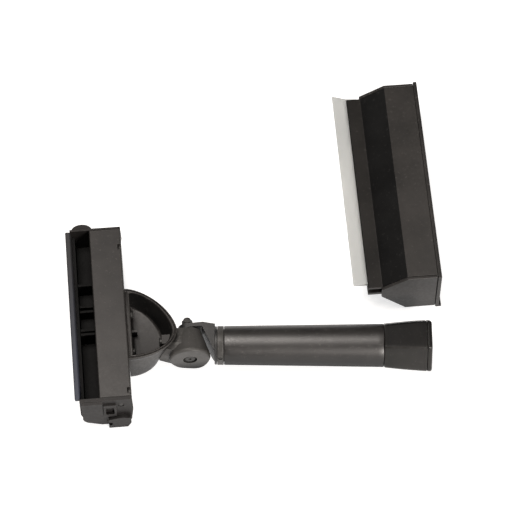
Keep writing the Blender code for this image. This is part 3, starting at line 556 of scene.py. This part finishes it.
def coupling():
    """Pole socket: a ledge where it leaves the tube, six flared faces, and an end ring."""
    start, end, tip = 0.1532, 0.1864, 0.1902
    narrow, wide, corner, swell = 0.0342, 0.0393, 0.0030, 0.0004
    ledge, rim = 0.0016, 0.0006
    stations = [(start, 0.0330, 0.0032), (start + 0.0003, 0.0337, 0.0032),
                (start + 0.0009, 0.0341, 0.0031), (start + ledge, narrow, corner)]
    steps = 14
    for i in range(1, steps + 1):
        t = i / steps
        flats = narrow + (wide - narrow) * t + swell * math.sin(math.pi * t)
        x = start + ledge + (end - rim - start - ledge) * t
        stations.append((x, min(flats, wide), corner))
    stations.append((end - 0.0002, 0.0388, corner))
    stations.append((end, 0.0384, corner))
    pole_bore, throat, plug = 0.0132, 0.0104, 0.0127
    bottom, inner_end = 0.1600, 0.1380
    bores = [(end, pole_bore), (bottom, pole_bore), (bottom, throat), (inner_end, throat),
             (inner_end, plug), (start, plug)]
    obj = hex_body("pole_socket", stations, bores)
    finish_piece(obj, "hex_coupling", SATIN)
    paint_top_shade(obj)

    first = end + GAP
    stations = [(first, 0.0384, corner), (first + 0.0002, 0.0390, corner),
                (first + 0.0006, 0.0394, corner), (tip - 0.0016, 0.0394, corner),
                (tip - 0.0008, 0.0391, 0.0031), (tip - 0.0003, 0.0384, 0.0033),
                (tip, 0.0370, 0.0036)]
    bores = [(tip, 0.0143), (tip - 0.0006, 0.0135), (first, 0.0134)]
    obj = hex_body("socket_end_ring", stations, bores)
    finish_piece(obj, "coupling_end_ring", SATIN)
    paint_top_shade(obj)


def collar():
    """Front collar: ring with six shallow windows and a hole for the rivet."""
    start, end, bore, face, outer = 0.0223, 0.0273, 0.0129, 0.0147, 0.0153
    front_round, rear_round = 0.0005, 0.0003
    windows, first_window, window_size = 6, 31, (0.0028, 0.0124, 0.0016)
    window_place = Matrix.Translation((0.0249, 0.0, 0.0155))
    rivet_x, rivet_rise, rivet_radius, rivet_depth, rivet_out = 0.0248, 20, 0.0017, 0.010, 0.014
    profile = [(start, bore), (start, face)]
    profile += arc((start + front_round, outer - front_round), front_round, 180, 90, 4)
    profile += arc((end - rear_round, outer - rear_round), rear_round, 90, 0, 3)
    profile.append((end, bore))
    bm = bmesh.new()
    turned(bm, profile, 144)
    obj = new_object("collar_ring", bm, HANDLE)
    for i in range(windows):
        cut = bmesh.new()
        bmesh.ops.create_cube(cut, size=1.0)
        turn = Matrix.Rotation(math.radians(60 * i + first_window), 4, "X")
        size = Matrix.Diagonal((*window_size, 1.0))
        boolean(obj, cut, "DIFFERENCE", HANDLE @ (turn @ window_place) @ size)
    hole = bmesh.new()
    bmesh.ops.create_cone(hole, segments=24, radius1=rivet_radius, radius2=rivet_radius,
                          depth=rivet_depth, cap_ends=True)
    lean = Matrix.Rotation(math.pi / 2 - math.radians(rivet_rise), 4, "X")
    along_rivet = Matrix.Translation((rivet_x, 0, 0)) @ lean
    boolean(obj, hole, "DIFFERENCE", HANDLE @ along_rivet @ Matrix.Translation((0, 0, rivet_out)))
    finish_piece(obj, "front_collar")


handle_tube()
coupling()
collar()
softened("hinge_fork", 0.0006, 3, 40.0)
softened("socket_liner", 0.0003, 2)


# ---------------------------------------------------------------- hinge hardware
for small in ("collar_rivet", "friction_disc", "nut_washer", "spring_washer", "bolt_head_washer"):
    softened(small, 0.00022, 2, 30.0)
softened("pivot_bolt", 0.0003, 2, 30.0)
softened("pivot_nut", 0.00015, 2, 30.0)


# ---------------------------------------------------------------- neck cup and knuckle
CUP_BACK = -0.0472
HEAD_WALL = -0.0475                # the visible cup closes the thin gap to the head
CUP_Y = 0.0060
CUP_RIM, CUP_FLOOR, CUP_FOOT = 0.0180, -0.0025, -0.0192
CUP_WALL, CUP_FULLNESS, CUP_STEPS = 0.0030, 1.25, 56
OUTER_SIDE = -0.0016               # outlines drawn in this far or further are inside the bowl
KNUCKLE_SEAT = -0.0209
PAD_Y = (-0.0028, 0.0048)
PAD_TOP = 0.0120
RIB_Y, RIB_HALF, RIB_TOP = (-0.0100, 0.0130), 0.0008, 0.0060


def cup_outline(z, grow):
    """D outline with its flat side on the head, at one height, widened all round by grow."""
    level = (z - CUP_FOOT) / (CUP_RIM - CUP_FOOT)
    depth = 0.0240 + 0.0140 * level + grow
    far = 0.0330 + 0.0055 * level + grow
    near = 0.0203 + 0.0021 * level + grow
    back = HEAD_WALL if grow > OUTER_SIDE else CUP_BACK - grow
    reach = CUP_BACK + depth - back
    points = []
    for i in range(CUP_STEPS + 1):
        angle = math.pi / 2 * i / CUP_STEPS
        points.append((back + reach * math.sin(angle), CUP_Y - near * math.cos(angle)))
    for i in range(1, CUP_STEPS + 1):
        angle = math.pi / 2 * i / CUP_STEPS
        across = max(math.cos(angle), 0.0) ** CUP_FULLNESS
        points.append((back + reach * across, CUP_Y + far * math.sin(angle) ** CUP_FULLNESS))
    return points


def cup_rings(bm, levels):
    return [[bm.verts.new((x, y, z)) for x, y in cup_outline(z, grow)] for z, grow in levels]


def box_mesh(low, high):
    """A box between two corners."""
    bm = bmesh.new()
    bmesh.ops.create_cube(bm, size=1.0)
    low, high = Vector(low), Vector(high)
    scale = Matrix.Diagonal((*(high - low), 1.0))
    bm.transform(Matrix.Translation((low + high) / 2) @ scale)
    return bm


def neck_cup():
    """Bowl with a raised floor, a grooved double rim, ribs on its back and a pad at its apex.

    Its inner wall carries painted shade, a blacker material than the rest.
    """
    foot, rim, floor, inner = CUP_FOOT, CUP_RIM, CUP_FLOOR, -CUP_WALL
    levels = [(floor - 0.0022, inner), (foot, inner), (foot, -0.0010), (foot + 0.0003, -0.0005),
              (foot + 0.0010, 0.0)]
    levels += [(foot + 0.0010 + (rim - 0.0036 - foot - 0.0010) * i / 10, 0.0) for i in range(1, 11)]
    levels += [(rim - 0.0033, 0.0002), (rim - 0.0030, 0.0006), (rim - 0.0026, 0.0009),
               (rim - 0.0014, 0.0009), (rim - 0.0006, 0.0008), (rim - 0.0002, 0.0005),
               (rim, 0.0001), (rim - 0.0002, -0.0004), (rim - 0.0011, -0.0008),
               (rim - 0.0012, -0.0012), (rim - 0.0004, -0.0016), (rim - 0.0002, -0.0020),
               (rim - 0.0003, -0.0025), (rim - 0.0008, inner)]
    levels += [(rim - 0.0008 + (floor + 0.0024 - rim + 0.0008) * i / 10, inner) for i in range(1, 11)]
    levels += [(floor + 0.0013, inner - 0.0003), (floor + 0.0005, inner - 0.0011),
               (floor + 0.0001, inner - 0.0019), (floor, inner - 0.0028)]
    bm = bmesh.new()
    skin(bm, cup_rings(bm, levels))
    obj = new_object("cup_bowl", bm, HINGE, 40.0)
    for y in RIB_Y:
        rib = box_mesh((CUP_BACK + 0.0010, y - RIB_HALF, floor - 0.0010),
                       (CUP_BACK + 0.0075, y + RIB_HALF, RIB_TOP))
        boolean(obj, rib, "UNION", HINGE)
    pad_block = box_mesh((KNUCKLE_SEAT, PAD_Y[0], floor - 0.0010),
                         (CUP_BACK + 0.0400, PAD_Y[1], PAD_TOP))
    pad = new_object("pad", pad_block, HINGE)
    block = bmesh.new()
    skin(block, cup_rings(block, ((foot - 0.001, -0.0010), (rim + 0.002, -0.0010))))
    boolean(pad, block, "INTERSECT", HINGE)
    joined = bmesh.new()
    joined.from_mesh(pad.data)
    bpy.data.objects.remove(pad)
    boolean(obj, joined, "UNION")
    air = box_mesh((KNUCKLE_SEAT - 0.0045, PAD_Y[0], floor + GAP), (KNUCKLE_SEAT, PAD_Y[1], PAD_TOP))
    boolean(obj, air, "DIFFERENCE", HINGE)
    smooth(obj.data, 40.0)
    finish_piece(obj, "neck_cup")
    # painted shade: the inner walls of the cup get the blacker SHADE material
    obj.data.materials.append(SHADE)
    # walls that face this axis are the inner ones
    centre = PIVOT + Vector((CUP_BACK + 0.010, CUP_Y, 0.0))
    for face in obj.data.polygons:
        outward = face.center - centre
        inside = face.normal.x * outward.x + face.normal.y * outward.y < 0.0
        if inside and abs(face.normal.z) < 0.6:
            face.material_index = 1


neck_cup()
softened("swivel_knuckle", 0.0006, 3, 24.0, 40.0, look=KNUCKLE)

# ---------------------------------------------------------------- head
CHANNEL_LEFT, CHANNEL_RIGHT, LIP_SEAT = -0.0842, -0.0725, -0.0864


def paint_channel_shade(obj, low_x, high_x):
    """Painted shade: a second, blacker material on the faces that line the open channel."""
    obj.data.materials.append(CHANNEL_SHADE)
    for face in obj.data.polygons:
        middle = face.center - PIVOT
        if low_x < middle.x < high_x and middle.z > -0.0100:
            face.material_index = 1


paint_channel_shade(softened("top_cover", 0.0005, 3, 40.0), CHANNEL_LEFT, CHANNEL_RIGHT + 0.0003)
paint_channel_shade(softened("base_tray", 0.0005, 3, 40.0), LIP_SEAT + 0.0002, CHANNEL_RIGHT)
# the insert deep in the channel carries the same painted shade
softened("channel_insert", 0.0003, 2, 40.0, look=CHANNEL_SHADE)
softened("lip_clamp_strip", 0.0002, 2, 40.0)
softened("end_cap_near", 0.0004, 3, 40.0, look=CAPS)
softened("end_cap_far", 0.0005, 3, 40.0, look=CAPS)
softened("rubber_lip", 0.0003, 3, 30.0)

# ---------------------------------------------------------------- adapter
LIP_REACH = 0.0110


def reach_flange(obj):
    """Close the thin gap between a shell and the frame at its open end."""
    end = max(vertex.co.x for vertex in obj.data.vertices)
    for vertex in obj.data.vertices:
        if vertex.co.x > end - 0.0002:
            vertex.co.x += GAP


def paint_slope_and_lip_shade(obj):
    """Painted shade: blacker materials on the tilted faces of a shell and on its lip."""
    obj.data.materials.append(SLOPE_SHADE)
    obj.data.materials.append(LIP_SHADE)
    edge = min(vertex.co.x for vertex in obj.data.vertices)
    for face in obj.data.polygons:
        tilted = face.normal.x < -0.25 and abs(face.normal.z) > 0.3
        if tilted:
            face.material_index = 1
        elif face.center.x < edge + LIP_REACH:
            face.material_index = 2


for shell in ("adapter_upper_shell", "adapter_lower_shell"):
    shell_piece = softened(shell, 0.0006, 4, 20.0, look=SHELL)
    reach_flange(shell_piece)
    paint_slope_and_lip_shade(shell_piece)
for plate in ("adapter_end_near", "adapter_end_far"):
    softened(plate, 0.0004, 3, 30.0)
softened("base_flange", 0.0003, 2, 60.0)
softened("blade_clamp_bar", 0.0003, 2, 40.0)
softened("squeegee_blade", 0.0005, 3, 30.0)

# ---------------------------------------------------------------- screws keep their CAD shape
for node, obj in frame["nodes"].items():
    if NODE_SLOT[node] == "blackened_steel" and "screw" in node:
        obj.data.materials.clear()
        obj.data.materials.append(STEEL)
